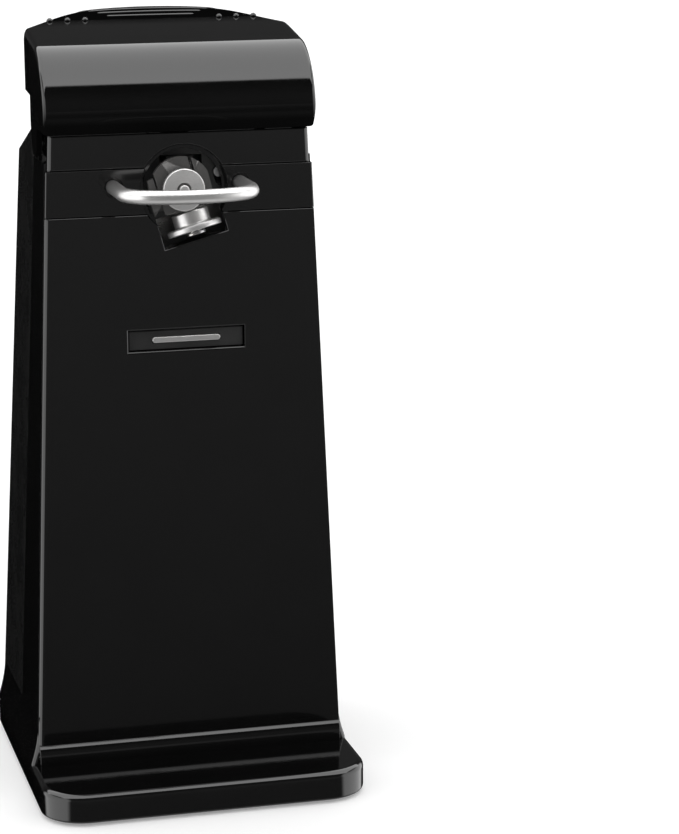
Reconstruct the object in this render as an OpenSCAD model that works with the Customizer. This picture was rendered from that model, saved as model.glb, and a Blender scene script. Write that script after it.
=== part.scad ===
// Electric can opener: a tapered tower on a flat foot, with a press lever over the top, a cutting
// head and a guide bar on the front, a lid magnet below them, and a geared motor inside.
// Millimetres, +Z up. The front faces -Y. The origin is on the floor, under the middle of the foot.

/* [Body] */
// Width of the foot
base_w = 96; // [95:0.5:98]
// Depth of the foot, front to back
base_d = 102; // [101.8:0.1:102.4]
// Height of the foot's rim above the floor
base_h = 9.5; // [9.2:0.1:9.7]
// Depth of the ledge that stands out in front of the tower
ledge_d = 29.4; // [29.2:0.1:29.6]
// Width of the tower's front at its bottom edge
tower_w_bottom = 91.4; // [91:0.1:92]
// Width of the tower's front at its top edge
tower_w_top = 76.4; // [76.2:0.1:76.8]
// How far the tower's back leans forward for each millimetre of height
back_lean = 0.1205; // [0.118:0.0005:0.122]
// Wall thickness of the housing shells
wall = 2; // [1.8:0.1:2]

/* [Lever] */
// Height of the lever's crest above the floor
lever_top = 226.5; // [226.2:0.1:227]
// Width of the lever
lever_w = 78.6; // [78.4:0.1:79]

/* [Cutting head] */
// Sideways place of the round recess, from the tower's middle
head_x = 1; // [0.8:0.1:1.2]
// Height of the round recess's centre
head_z = 178; // [177.9:0.1:178.1]
// Radius of the round recess in the front panels
recess_r = 12.7; // [12.5:0.1:12.9]
// Lean of the cutter's axis away from the vertical, in degrees
cutter_lean = 15; // [14.5:0.5:15]
// Radius of the drive wheel
drive_wheel_r = 6.1; // [5.9:0.1:6.2]
// Radius of the cutting flange
flange_r = 8; // [7.8:0.1:8]

/* [Guide bar and magnet] */
// Distance from the tower's middle to each leg of the guide bar
bar_half_w = 18.4; // [18:0.2:19]
// Height of the guide bar
bar_z = 179.2; // [179:0.1:179.4]
// Thickness of the guide bar
bar_d = 4; // [3.8:0.1:4.2]
// Height of the lid magnet
magnet_z = 134.5; // [134:0.5:136]

/* [Gears] */
// Teeth on the drive shaft's gear
drive_teeth = 20;
// Teeth on the pinions
pinion_teeth = 12;
// Teeth on the two large gears
wheel_teeth = 60;

/* [Hidden] */
$fn = 48;

shell_black = "#17181a";
trim_black = "#232427";
satin_steel = "#c9cacc";
dark_steel = "#7b7e82";
plated_steel = "#b4b8bc";
bronze = "#a9834f";
copper = "#b4693a";
nylon = "#e8e4d6";
rubber_grey = "#2c2c2e";

small = 0.01;
panel_t = 2.4;
bar_x = -1;
foot_t = 1;
cover_t = 2;
front_y = -base_d / 2 + ledge_d;
panel_back = front_y + panel_t;
wall_back = panel_back + wall;
tower_bottom = 11.7;
panel_top = 195.2;
tower_top = 194.5;
back_top = 185;
shoulder_y = front_y + 25;
panel_split_low = 171.2;
panel_split_high = 184.2;

// Half-width of the tower at height z, and where its back face and its shell seam lie
function half_w(z) = tower_w_bottom / 2
    - (tower_w_bottom - tower_w_top) / 2 * (z - tower_bottom) / (panel_top - tower_bottom);
function back_y(z) = base_d / 2 - back_lean * (z - 7);
function seam_y(z) = front_y + 35.6 - 0.072 * z;

// An outline of [x, z] points, made solid from y0 to y1
module slab_y(points, y0, y1) {
    translate([0, y1, 0]) rotate([90, 0, 0]) linear_extrude(y1 - y0) polygon(points);
}

// An outline of [y, z] points, made solid from x0 to x1
module slab_x(points, x0, x1) {
    translate([x0, 0, 0]) rotate([90, 0, 90]) linear_extrude(x1 - x0) polygon(points);
}

// A round rod along Y, centred on [x, z]
module rod_y(x, z, r, y0, y1) {
    translate([x, y1, z]) rotate([90, 0, 0]) cylinder(r = r, h = y1 - y0);
}

// A round rod along X, centred on [y, z]
module rod_x(y, z, r, x0, x1) {
    translate([x0, y, z]) rotate([0, 90, 0]) cylinder(r = r, h = x1 - x0);
}

// A block between two corners
module block(low, high) {
    translate(low) cube(high - low);
}

// A slot with round ends, along Y, from [x, z] up by travel
module slot_y(x, z, r, travel, y0, y1) {
    rod_y(x, z, r, y0, y1);
    rod_y(x, z + travel, r, y0, y1);
    block([x - r, y0, z], [x + r, y1, z + travel]);
}

// A screw along +Z: its head is below the origin and its shank above
module screw(shank_r, shank, head_r, head) {
    difference() {
        union() {
            translate([0, 0, -head / 2]) cylinder(r = shank_r, h = shank + head / 2);
            translate([0, 0, -head]) cylinder(r = head_r, h = head);
        }
        for (turn = [0, 90])
            rotate([0, 0, turn]) translate([-head_r * 0.6, -0.4, -head - small])
                cube([head_r * 1.2, 0.8, head * 0.5]);
    }
}

// A plan outline with its own front and back corner radii
module rounded_plan(w, d, r_front, r_back) {
    x = w / 2;
    y = d / 2;
    union() {
        for (side = [-1, 1]) {
            translate([side * (x - r_front), -y + r_front]) circle(r = r_front);
            translate([side * (x - r_back), y - r_back]) circle(r = r_back);
        }
        translate([-x + r_front, -y]) square([w - 2 * r_front, d / 2]);
        translate([-x + r_back, 0]) square([w - 2 * r_back, y]);
        translate([-x, -y + r_front]) square([w, d - r_front - r_back]);
    }
}

// ---------- foot ----------

base_front_r = 13;
base_back_r = 5;
base_wall = 2.4;
screw_spots = [[-34, -30], [34, -30], [-26, 40], [26, 40]];
foot_spots = [[-36, -41], [36, -41], [-39, 43], [39, 43]];

// Outer side of the foot's flare: it curves out of the tower's side to the foot's rim
flare_top = 24;
function flare_x(z) = half_w(flare_top) + (base_w / 2 - half_w(flare_top))
    * pow((flare_top - z) / (flare_top - base_h), 2);

module flare(inset) {
    steps = 6;
    heights = [for (i = [0:steps]) base_h - 0.1 + (flare_top - base_h + 0.1) * i / steps];
    right = [for (z = heights) [flare_x(max(z, base_h)) - inset, z]];
    left = [for (i = [steps:-1:0]) [-right[i][0], right[i][1]]];
    slab_y(concat(right, left), front_y + 0.6 + inset, back_y(flare_top) - inset);
}

module base() color(shell_black) {
    difference() {
        union() {
            translate([0, 0, foot_t]) linear_extrude(base_h - foot_t)
                rounded_plan(base_w, base_d, base_front_r, base_back_r);
            flare(0);
        }
        translate([0, 0, -1]) linear_extrude(base_h + 1 - base_wall)
            rounded_plan(base_w - 2 * base_wall, base_d - 2 * base_wall,
                base_front_r - base_wall, base_back_r - base_wall);
        // Opening up into the tower
        block([-half_w(tower_bottom) + 6, front_y + 8, 0], [half_w(tower_bottom) - 6, 34, flare_top + 1]);
        // Seat of the tower's shells and of the lower panel
        tower_block(0, tower_bottom - 0.1, flare_top + 1);
        slab_y([[half_w(tower_bottom), tower_bottom - 0.2], [half_w(flare_top), flare_top + 1],
            [-half_w(flare_top), flare_top + 1], [-half_w(tower_bottom), tower_bottom - 0.2]],
            front_y - 1, panel_back + 0.1);
        // The flare fades into the tower's side below its top
        block([-base_w, -base_d, flare_top - 2], [base_w, base_d, flare_top + 1]);
    }
    for (p = screw_spots)
        translate([p[0], p[1], foot_t + cover_t]) difference() {
            cylinder(r = 3.6, h = base_h - foot_t - cover_t - 1);
            translate([0, 0, -small]) cylinder(r = 1.4, h = base_h);
        }
}

module bottom_cover() color(trim_black) {
    gap = 0.2;
    difference() {
        translate([0, 0, foot_t]) linear_extrude(cover_t)
            rounded_plan(base_w - 2 * base_wall - 2 * gap, base_d - 2 * base_wall - 2 * gap,
                base_front_r - base_wall, base_back_r - base_wall);
        for (p = screw_spots) {
            translate([p[0], p[1], 0]) cylinder(r = 1.7, h = 5);
            translate([p[0], p[1], 0]) cylinder(r = 3.2, h = foot_t + 1);
        }
        for (p = foot_spots)
            translate([p[0], p[1], 0]) cylinder(r = 4.5, h = foot_t + 1);
        for (x = [-20:8:20])
            translate([x, 4, 0]) block([-1.5, -12, 0], [1.5, 12, 5]);
    }
}

module rubber_feet() color(rubber_grey) {
    for (p = foot_spots)
        translate([p[0], p[1], 0]) cylinder(r = 4.5, h = foot_t + 1);
}

module base_screws() color(plated_steel) {
    for (p = screw_spots)
        translate([p[0], p[1], foot_t + 1]) screw(1.4, 5, 3, 0.9);
}

// ---------- tower shells ----------

// The tower's outer block, cut back by inset on every face, from height z0 to z1
module tower_block(inset, z0, z1) {
    i = inset;
    slope_top = tower_top - i;
    intersection() {
        slab_x([[panel_back + i, z0], [back_y(z0) - i, z0], [back_y(back_top) - i, back_top - i],
            [shoulder_y, slope_top], [panel_back + i, slope_top]], -60, 60);
        slab_y([[half_w(z0) - i, z0], [half_w(z1) - i, z1], [-half_w(z1) + i, z1], [-half_w(z0) + i, z0]],
            -60, 60);
    }
}

// Everything in front of the shells' seam
module seam_side(front, gap) {
    far = front ? -70 : 70;
    shift = front ? -gap : gap;
    slab_x([[seam_y(0) + shift, 0], [seam_y(210) + shift, 210], [far, 210], [far, 0]], -60, 60);
}

pivot_y = front_y + 15.5;
pivot_z = 191;
hook_half_w = 4;
switch_x = 29.5;
switch_y = pivot_y + 10;
spring_y = pivot_y + 14.2;
spring_seat_z = 194.5;
plate_screws = [[-32, 108], [32, 108], [-32, 166], [32, 166]];
housing_screw_spots = [[-32, 40], [32, 40], [-31, 84], [31, 84]];
front_plate_y = front_y + 15.3;

// Round opening and tilted pocket of the cutting head, along Y
module head_opening(r, y0, y1) {
    rod_y(head_x, head_z, r, y0, y1);
    translate([head_x, 0, head_z]) rotate([0, -cutter_lean, 0])
        block([-10, y0, -15.2], [8.9, y1, -4]);
}

// Side pocket in which the lever's ear turns
module ear_pocket(side) {
    low_x = lever_w / 2 - 2.2;
    high_x = 45;
    block([side > 0 ? low_x : -high_x, front_y - 1, 186.4],
        [side > 0 ? high_x : -low_x, shoulder_y - 1, 200]);
}

module front_housing() color(shell_black) {
    difference() {
        intersection() {
            difference() {
                tower_block(0, tower_bottom, panel_top + 5);
                tower_block(wall, tower_bottom - 1, panel_top + 5);
            }
            seam_side(true, 0);
        }
        head_opening(recess_r - 1.2, front_y, wall_back + 1);
        // Slot for the magnet's holder
        block([-18, panel_back - 1, magnet_z - 5], [20, wall_back + 1, magnet_z + 5]);
        // Guide bar's legs
        for (side = [-1, 1])
            rod_y(bar_x + side * bar_half_w, bar_z, bar_d / 2, front_y, wall_back + 1);
        // Lever's lifting hook comes down through the top
        block([-hook_half_w - 2 + head_x, wall_back, tower_top - wall - 1],
            [hook_half_w + 2 + head_x, pivot_y + 2, tower_top + 1]);
        for (side = [-1, 1]) {
            ear_pocket(side);
            rod_x(pivot_y, pivot_z, 2, side > 0 ? 20 : -50, side > 0 ? 50 : -20);
        }
    }
    // Bosses for the front gear plate
    for (p = plate_screws)
        difference() {
            rod_y(p[0], p[1], 3.2, wall_back - 0.5, front_plate_y);
            rod_y(p[0], p[1], 1.25, wall_back + 1, front_plate_y + 1);
        }
    // Bosses for the screws from the back
    for (p = housing_screw_spots)
        difference() {
            rod_y(p[0], p[1], 3.2, wall_back - 0.5, seam_y(p[1]) - 4);
            rod_y(p[0], p[1], 1.25, wall_back + 1, seam_y(p[1]));
        }
    // Bosses that hold the lever's pivot pins
    for (side = [-1, 1])
        difference() {
            rod_x(pivot_y, pivot_z - 0.6, 2.8, side > 0 ? 31.5 : -37, side > 0 ? 37 : -31.5);
            rod_x(pivot_y, pivot_z, 2, side > 0 ? 20 : -50, side > 0 ? 50 : -20);
            block([-50, pivot_y - 5, tower_top - wall + 0.4], [50, pivot_y + 5, tower_top + 3]);
        }
}

inlet_z = 30;
inlet_r = 4;
lean_angle = atan(back_lean);
vent_rows = 7;

module rear_housing() color(shell_black) {
    difference() {
        union() {
            intersection() {
                difference() {
                    tower_block(0, tower_bottom, panel_top + 5);
                    tower_block(wall, tower_bottom - 1, panel_top + 5);
                }
                seam_side(false, 0);
            }
            // Seat of the lever's spring
            translate([0, spring_y, spring_seat_z - 6]) cylinder(r = 6, h = 6);
            // Columns for the screws
            for (p = housing_screw_spots)
                rod_y(p[0], p[1], 3.6, seam_y(p[1]) - 3.8, back_y(p[1]) - 1);
        }
        translate([0, spring_y, spring_seat_z - 2]) cylinder(r = 4.6, h = 5);
        for (p = housing_screw_spots) {
            rod_y(p[0], p[1], 1.6, seam_y(p[1]) - 5, back_y(p[1]) + 5);
            rod_y(p[0], p[1], 2.9, seam_y(p[1]) + 6, back_y(p[1]) + 5);
        }
        // Cord's inlet, square to the back wall
        translate([0, back_y(inlet_z), inlet_z]) rotate([90 + lean_angle, 0, 0])
            cylinder(r = inlet_r, h = 12, center = true);
        // Cooling slots
        for (row = [0:vent_rows - 1])
            for (side = [-1, 1])
                block([side * 15 - 10, 30, 70 + row * 5], [side * 15 + 10, 60, 72 + row * 5]);
        for (side = [-1, 1]) ear_pocket(side);
        // Opening for the switch's presser
        block([switch_x - 3, switch_y - 3.2, tower_top - wall - 3],
            [switch_x + 3, switch_y + 4, tower_top + 1]);
    }
}

screw_depth = 7.4;
module housing_screws() color(plated_steel) {
    for (p = housing_screw_spots)
        translate([p[0], seam_y(p[1]) + 6, p[1]]) rotate([90, 0, 0]) screw(1.25, 9.5 + screw_depth, 2.8, 2);
}

// ---------- front panels ----------

edge = 0.6;

// One front panel between two heights, with its sides set in by inset
module front_plate(z0, z1, inset) {
    slab_y([[half_w(z0) - inset, z0], [half_w(z1) - inset, z1], [-half_w(z1) + inset, z1],
        [-half_w(z0) + inset, z0]], front_y, panel_back);
}

module lower_front_panel() color(shell_black) {
    difference() {
        front_plate(tower_bottom, panel_split_low - 0.2, 0);
        head_opening(recess_r, front_y - 1, panel_back + 1);
        block([-16, front_y - 1, magnet_z - 3], [18, panel_back + 1, magnet_z + 3]);
    }
}

module middle_band() color(shell_black) {
    difference() {
        front_plate(panel_split_low, panel_split_high, 0);
        head_opening(recess_r, front_y - 1, panel_back + 1);
        for (side = [-1, 1]) {
            rod_y(bar_x + side * bar_half_w, bar_z, bar_d / 2, front_y - 1, panel_back + 1);
            rod_y(bar_x + side * bar_half_w, bar_z, bar_d / 2 + 0.8, front_y - 1, front_y + 1.2);
        }
    }
}

module upper_front_panel() color(shell_black) {
    difference() {
        front_plate(panel_split_high + 0.2, panel_top - 0.9, edge);
        head_opening(recess_r, front_y - 1, panel_back + 1);
    }
}

// ---------- guide bar and lid magnet ----------

// A round tube of the given radius swept along points, level with the floor or nearly so
module sweep(points, r, sides) {
    n = len(points);
    tangents = [for (i = [0:n - 1]) points[min(i + 1, n - 1)] - points[max(i - 1, 0)]];
    rings = [for (i = [0:n - 1])
        let (t = tangents[i] / norm(tangents[i]), s = cross([0, 0, 1], t), side = s / norm(s),
            up = cross(t, side))
        for (k = [0:sides - 1]) points[i] + r * (cos(360 * k / sides) * side + sin(360 * k / sides) * up)];
    walls = [for (i = [0:n - 2]) for (k = [0:sides - 1])
        let (next = (k + 1) % sides, near = i * sides, far = (i + 1) * sides)
        for (face = [[near + k, far + k, far + next], [near + k, far + next, near + next]]) face];
    start_cap = [for (k = [0:sides - 1]) k];
    end_cap = [for (k = [sides - 1:-1:0]) (n - 1) * sides + k];
    polyhedron(points = rings, faces = concat([start_cap], walls, [end_cap]));
}

bar_bow_r = 34;
bar_corner_r = 10;
bar_front_y = front_y - 25.5;

// Centre line of the guide bar: two legs, two corners and a shallow bow, tangent to each other
function bar_path() =
    let (corner_x = bar_half_w - bar_corner_r, reach = bar_bow_r - bar_corner_r,
        drop = sqrt(reach * reach - corner_x * corner_x), bow_y = bar_front_y + bar_bow_r,
        corner_y = bow_y - drop, turn = atan(corner_x / drop),
        right = concat([for (a = [0:4:floor(turn)]) [bar_bow_r * sin(a), bow_y - bar_bow_r * cos(a)]],
            [for (i = [0:5]) let (a = turn + (90 - turn) * i / 5)
                [corner_x + bar_corner_r * sin(a), corner_y - bar_corner_r * cos(a)]],
            [[bar_half_w, wall_back + 2.5]]))
    [for (i = [-len(right) + 1:len(right) - 1]) let (p = right[abs(i)])
        [bar_x + (i < 0 ? -p[0] : p[0]), p[1], bar_z]];

module guide_bar() color(satin_steel) sweep(bar_path(), bar_d / 2, 16);

module guide_bar_clips() color(dark_steel) {
    for (side = [-1, 1])
        difference() {
            rod_y(bar_x + side * bar_half_w, bar_z, 3.4, wall_back, wall_back + 0.3);
            rod_y(bar_x + side * bar_half_w, bar_z, bar_d / 2, wall_back - 1, wall_back + 2);
        }
}

magnet_x = 1;
holder_half_w = 16.8;

module magnet_holder() color(trim_black) {
    difference() {
        union() {
            block([magnet_x - holder_half_w, front_y + 1.2, magnet_z - 2.8],
                [magnet_x + holder_half_w, wall_back + 5, magnet_z + 2.8]);
            block([magnet_x - holder_half_w, panel_back, magnet_z - 4.8],
                [magnet_x + holder_half_w, wall_back, magnet_z + 4.8]);
        }
        block([magnet_x - 10, front_y, magnet_z - 0.85], [magnet_x + 10, wall_back + 6, magnet_z + 0.85]);
        block([magnet_x - 11, front_y + 4, magnet_z - 1.8], [magnet_x + 11, wall_back + 6, magnet_z + 1.8]);
    }
}

module magnet_pole_piece() color(satin_steel) {
    block([magnet_x - 10, front_y + 0.6, magnet_z - 0.85], [magnet_x + 10, front_y + 4, magnet_z + 0.85]);
}

module lid_magnet() color("#4a4745") {
    block([magnet_x - 11, front_y + 4, magnet_z - 1.8], [magnet_x + 11, wall_back + 4, magnet_z + 1.8]);
}

// ---------- lever ----------

lever_wall = 1.6;
crest_y = front_y + 50;
skirt_back_y = front_y + 31;

// Side outline of the lever as [y, z]: front curve, sloped top, back, and the ear that turns on the pin
front_curve = [[-3.5, 201], [-3.3, 208], [3, 216.8], [11, 218.8]];
function lever_front(i) = let (t = i / 8)
    pow(1 - t, 3) * front_curve[0] + 3 * t * pow(1 - t, 2) * front_curve[1]
        + 3 * t * t * (1 - t) * front_curve[2] + pow(t, 3) * front_curve[3];

lever_outline = concat(
    [[-0.45, 194.6], [-2.3, 197]],
    [for (i = [0:8]) lever_front(i)],
    [[37, 223.2], [46, 226.6], [50, 226.6], [50, 206.5], [21, 204], [21, 195.5], [19, 188.4], [16.5, 187.4],
     [13, 187.4], [11, 189.5], [10, 195.4], [3, 195.6]]);
lever_hollow = concat(
    [[1.4, 180], [-1.6, 197.8]],
    [for (i = [0:8]) lever_front(i) + [1.9, -0.9 * i / 8]],
    [[36, 220.9], [48.2, 223.6], [48.2, 180]]);

function shift_y(points) = [for (p = points) [p[0] + front_y, p[1]]];

// Arched section of the lever, seen from the front
module lever_section(w, top, corner) {
    arch_r = 230;
    x = w / 2 - corner;
    arch = [for (i = [-8:8]) let (px = x * i / 8) [px, top - (arch_r - sqrt(arch_r * arch_r - px * px))]];
    side_z = arch[0][1] - corner;
    fillet = [for (a = [15:15:75]) [corner * sin(a), corner * cos(a)]];
    right = [for (f = fillet) [x + f[0], side_z + f[1]]];
    left = [for (i = [len(fillet) - 1:-1:0]) [-x - fillet[i][0], side_z + fillet[i][1]]];
    slab_y(concat([[-w / 2, 170], [-w / 2, side_z]], left, arch, right, [[w / 2, side_z], [w / 2, 170]]),
        -60, 60);
}

// Plan of the lever: its back edge is one wide arc
module lever_plan(inset) {
    depth = crest_y - skirt_back_y;
    half = lever_w / 2;
    arc_r = (half * half + depth * depth) / (2 * depth);
    translate([0, 0, 170]) linear_extrude(80) union() {
        translate([0, crest_y - arc_r]) circle(r = arc_r - inset, $fn = 96);
        translate([-60, -60]) square([120, skirt_back_y + 60 - inset]);
    }
}

spring_top_z = 205;
presser_z = 190;
dot_spots = [20, 25.2, 30.4];

module lever() color(shell_black) {
    difference() {
        union() {
            difference() {
                intersection() {
                    slab_x(shift_y(lever_outline), -lever_w / 2, lever_w / 2);
                    lever_section(lever_w, lever_top, 4);
                    lever_plan(0);
                }
                intersection() {
                    slab_x(shift_y(lever_hollow), -lever_w / 2 + lever_wall, lever_w / 2 - lever_wall);
                    lever_section(lever_w - 2 * lever_wall, lever_top - 2.2, 3);
                    lever_plan(2);
                }
            }
            // Lifting hook: an arm down behind the front wall, with a lip that reaches forward
            block([head_x - hook_half_w, pivot_y - 3.4, 185], [head_x + hook_half_w, pivot_y - 1.4, 218]);
            block([head_x - hook_half_w, wall_back + 1.6, 184.6],
                [head_x + hook_half_w, pivot_y - 1.4, 186.9]);
            // Post over the spring and presser over the switch
            translate([0, spring_y, spring_top_z]) cylinder(r = 3.4, h = 221 - spring_top_z);
            translate([switch_x, switch_y, presser_z]) cylinder(r = 2, h = 220 - presser_z);
            // Raised grip dots
            for (side = [-1, 1]) for (x = dot_spots)
                translate([side * x, front_y + 37.5, 221]) cylinder(r = 0.8, h = 2.8);
        }
        // Blind holes that turn on the pivot pins
        for (side = [-1, 1])
            rod_x(pivot_y, pivot_z, 2.05, side > 0 ? 20 : -38.75, side > 0 ? 38.75 : -20);
    }
}

module lever_pivot_pins() color(plated_steel) {
    for (side = [-1, 1])
        rod_x(pivot_y, pivot_z, 2, side > 0 ? 30 : -38.6, side > 0 ? 38.6 : -30);
}

spring_turns = 5;
spring_wire_r = 0.5;
spring_coil_r = 3.6;
spring_base_z = spring_seat_z - 2 + spring_wire_r;
spring_height = spring_top_z - spring_base_z - spring_wire_r;

module lever_spring() color(satin_steel) {
    steps = spring_turns * 12;
    sweep([for (i = [0:steps]) let (a = 360 * spring_turns * i / steps)
        [spring_coil_r * cos(a), spring_y + spring_coil_r * sin(a), spring_base_z + 0.15
            + (spring_height - 0.3) * i / steps]], spring_wire_r, 6);
}

// ---------- switch ----------

switch_top = 180;
plunger_top = presser_z - 0.5;

module switch_body() color("#2b2d33") {
    difference() {
        block([switch_x - 3, switch_y - 6, switch_top - 14], [switch_x + 3, rear_plate_y, switch_top]);
        translate([switch_x, switch_y, switch_top - 6]) cylinder(r = 1.4, h = 7);
        for (z = [switch_top - 11, switch_top - 4])
            rod_x(switch_y + 3.9, z, 1.1, switch_x - 5, switch_x + 5);
    }
}

module switch_plunger() color("#8c2f2b") {
    translate([switch_x, switch_y, switch_top - 3.4]) cylinder(r = 1.3, h = plunger_top - switch_top + 3.4);
}

module switch_terminals() color(bronze) {
    for (y = [-4, 0, 4])
        block([switch_x - 0.3, switch_y + y - 1.2, switch_top - 20],
            [switch_x + 0.3, switch_y + y + 1.2, switch_top - 14]);
}

// ---------- cutting head ----------

cutter_travel = 2.3;
slide_y0 = wall_back + 0.4;
slide_y1 = slide_y0 + 2;
cutter_y = front_y + 3.45;
flange_at = -5.2;
cutter_top = -7;
cutter_at = 0.1;
axle_r = 2;
axle_h = 8.4;
drive_x = head_x - 1.15;
drive_z = head_z + 0.5;
shaft_r = 3;

// Turns a shape drawn upright round the recess's centre into the cutter's lean
module lean_head() {
    translate([head_x, 0, head_z]) rotate([0, -cutter_lean, 0]) children();
}

// The cutter's own frame: its origin is at the top of the cutter's hub, and its axis also leans back
cutter_tilt = 12;
module cutter_frame() {
    lean_head() translate([cutter_at, cutter_y, cutter_top]) rotate([-cutter_tilt, 0, 0]) children();
}

// The cutter's axle starts this far below the cutter's frame
axle_low = -flange_at + 1.25;

module axle_bore() {
    cutter_frame() translate([0, 0, -axle_low]) cylinder(r = axle_r, h = axle_h + 2.6);
}

// Place of the drive shaft in the leaning frame
drive_lx = (drive_x - head_x) * cos(cutter_lean) + (drive_z - head_z) * sin(cutter_lean);
drive_lz = -(drive_x - head_x) * sin(cutter_lean) + (drive_z - head_z) * cos(cutter_lean);
guide_pin_x = 11.7;
slide_half_w = 13.9;

// Clearance round the drive shaft over the whole travel
module shaft_slot(r, y0, y1) {
    slot_y(drive_lx, drive_lz - cutter_travel - 0.2, r, cutter_travel + 0.4, y0, y1);
}

// Clearance round the cutter's hub, up to the nose
module hub_room() {
    cutter_frame() translate([0, 0, flange_at]) cylinder(r = hub_r + 0.4, h = -flange_at - 0.05);
}

module cutter_slide() color(trim_black) {
    difference() {
        intersection() {
            lean_head() block([-slide_half_w, slide_y0, -6.8], [slide_half_w, slide_y1, 18]);
            block([-40, slide_y0 - 1, 150], [40, slide_y1 + 1, 189.6]);
        }
        lean_head() {
            shaft_slot(shaft_r + 0.5, slide_y0 - 1, slide_y1 + 1);
            for (side = [-1, 1])
                slot_y(side * guide_pin_x, 1 - cutter_travel - 0.2, 1.6, cutter_travel + 0.4,
                    slide_y0 - 1, slide_y1 + 1);
        }
        axle_bore();
        hub_room();
        // Window for the lever's hook
        block([head_x - 6.2, slide_y0 - 1, 183.2], [head_x + 6.2, slide_y1 + 1, 187.2]);
    }
}

bracket_front = front_y - 1.8;
nose_r = 5.35;
hub_r = 5.35;
hub_h = 4.1;
flange_h = 1.9;

module cutter_bracket() color(dark_steel) {
    difference() {
        union() {
            // Fan-shaped face plate with its side lug
            intersection() {
                rod_y(head_x - 1.2, head_z + 0.7, 8.9, bracket_front, bracket_front + 1.6);
                lean_head() block([-7.6, bracket_front - 1, -5.5], [7.6, bracket_front + 3, 10]);
            }
            lean_head() slab_y([[-9.8, 5.6], [-8.1, 5.8], [-7.9, -2.2], [-10.5, -5], [-10.6, -2.2]],
                bracket_front, bracket_front + 1.6);
            lean_head() block([-9, bracket_front + 1, -4], [-5, bracket_front + 1.6, 3]);
            // Core that joins the face plate to the slide
            intersection() {
                rod_y(head_x, head_z, 8, bracket_front + 1.5, slide_y0);
                lean_head() block([-7, -60, -6], [7, 0, 7]);
            }
            // Nose that carries the cutter's axle
            cutter_frame() cylinder(r = nose_r, h = 4.5);
        }
        axle_bore();
        hub_room();
        lean_head() {
            shaft_slot(shaft_r + 0.5, bracket_front - 1, slide_y1 + 1);
            // Narrow gap at the upper right of the face plate
            block([3.1, bracket_front - 1, 4.6], [4, bracket_front + 1.7, 12]);
            // The slide's own plate
            block([-20, slide_y0, -20], [20, slide_y1 + 5, 20]);
        }
    }
}

module cutter_wheel() color(satin_steel) {
    cutter_frame() translate([0, 0, flange_at]) difference() {
        union() {
            translate([0, 0, -flange_h / 2]) cylinder(r1 = flange_r - 0.5, r2 = flange_r, h = flange_h / 2);
            cylinder(r1 = flange_r, r2 = flange_r - 0.3, h = flange_h / 2);
            translate([0, 0, flange_h / 2 - small]) cylinder(r = hub_r, h = hub_h + small);
        }
        translate([0, 0, -5]) cylinder(r = axle_r + 0.05, h = 20);
    }
}

module cutter_axle() color(plated_steel) {
    cutter_frame() translate([0, 0, -axle_low]) {
        cylinder(r = axle_r, h = axle_h);
        translate([0, 0, -0.8]) cylinder(r = 3, h = 0.8);
    }
}

module slide_guide_pins() color(plated_steel) {
    lean_head() for (side = [-1, 1])
        rod_y(side * guide_pin_x, 1, 1.5, wall_back + 0.2, front_plate_y);
}

// ---------- drive train ----------

wheel_front = front_y - 6;
wheel_back = wheel_front + 2.8;
bevel = 0.5;
drive_gear_y = front_plate_y + 2.5;
second_wheel_y = drive_gear_y + 5.7;
first_wheel_y = second_wheel_y + 4.3;
rear_plate_y = first_wheel_y + 4;
second_z = drive_z - (drive_teeth + pinion_teeth) / 2;
module_second = 0.75;
module_first = 0.6;
first_z = second_z - module_second * (wheel_teeth + pinion_teeth) / 2;
motor_z = first_z - module_first * (wheel_teeth + pinion_teeth) / 2;

// Involute of a pressure angle, in degrees
function involute(a) = tan(a) * 180 / PI - a;

// Half of a tooth's angle at radius r
function tooth_half(m, n, r) = let (pitch_r = m * n / 2, base_r = pitch_r * cos(20), play = 0.09)
    (PI * m / 4 - play) / pitch_r * 180 / PI + involute(20) - involute(r > base_r ? acos(base_r / r) : 0);

// A spur gear's outline, with a tooth at the angle start
module gear_outline(m, n, start) {
    pitch_r = m * n / 2;
    tip_r = pitch_r + 0.8 * m;
    root_r = pitch_r - 1.15 * m;
    mid_r = max(root_r + 0.1 * m, pitch_r * cos(20));
    flank = [root_r, mid_r, pitch_r, tip_r];
    up = [for (r = flank) [r, -tooth_half(m, n, r)]];
    down = [for (i = [3:-1:0]) [flank[i], tooth_half(m, n, flank[i])]];
    polygon([for (k = [0:n - 1]) for (p = concat(up, down)) let (a = start + 360 * k / n + p[1])
        [p[0] * cos(a), p[0] * sin(a)]]);
}

// A gear centred on [x, z], from y0 to y1
module gear(x, z, m, n, start, y0, y1) {
    translate([x, y1, z]) rotate([90, 0, 0]) linear_extrude(y1 - y0) gear_outline(m, n, start);
}

down = -90;
pinion_start = 90 + 180 / pinion_teeth;

knurl_teeth = 36;
knurl_depth = 0.3;
knurl = [for (k = [0:2 * knurl_teeth - 1])
    let (a = 180 * k / knurl_teeth, r = drive_wheel_r - 0.1 - (k % 2) * knurl_depth)
        [drive_x + r * cos(a), drive_z + r * sin(a)]];

module drive_wheel() color(satin_steel) {
    difference() {
        union() {
            // Smooth face with a bevelled rim, and the knurled grip behind it
            rod_y(drive_x, drive_z, drive_wheel_r, wheel_front + bevel, wheel_front + 1.1);
            translate([drive_x, wheel_front + bevel, drive_z]) rotate([90, 0, 0])
                cylinder(r1 = drive_wheel_r, r2 = drive_wheel_r - bevel, h = bevel);
            slab_y(knurl, wheel_front + 1, wheel_back);
        }
        rod_y(drive_x, drive_z, 2, wheel_front - 1, wheel_back + 1);
    }
}

module drive_wheel_nut() color(plated_steel) {
    rod_y(drive_x, drive_z, 1.45, wheel_front - 0.8, wheel_front - 0.3);
    rod_y(drive_x, drive_z, 2, wheel_front - 0.3, wheel_front + 0.4);
}

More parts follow.
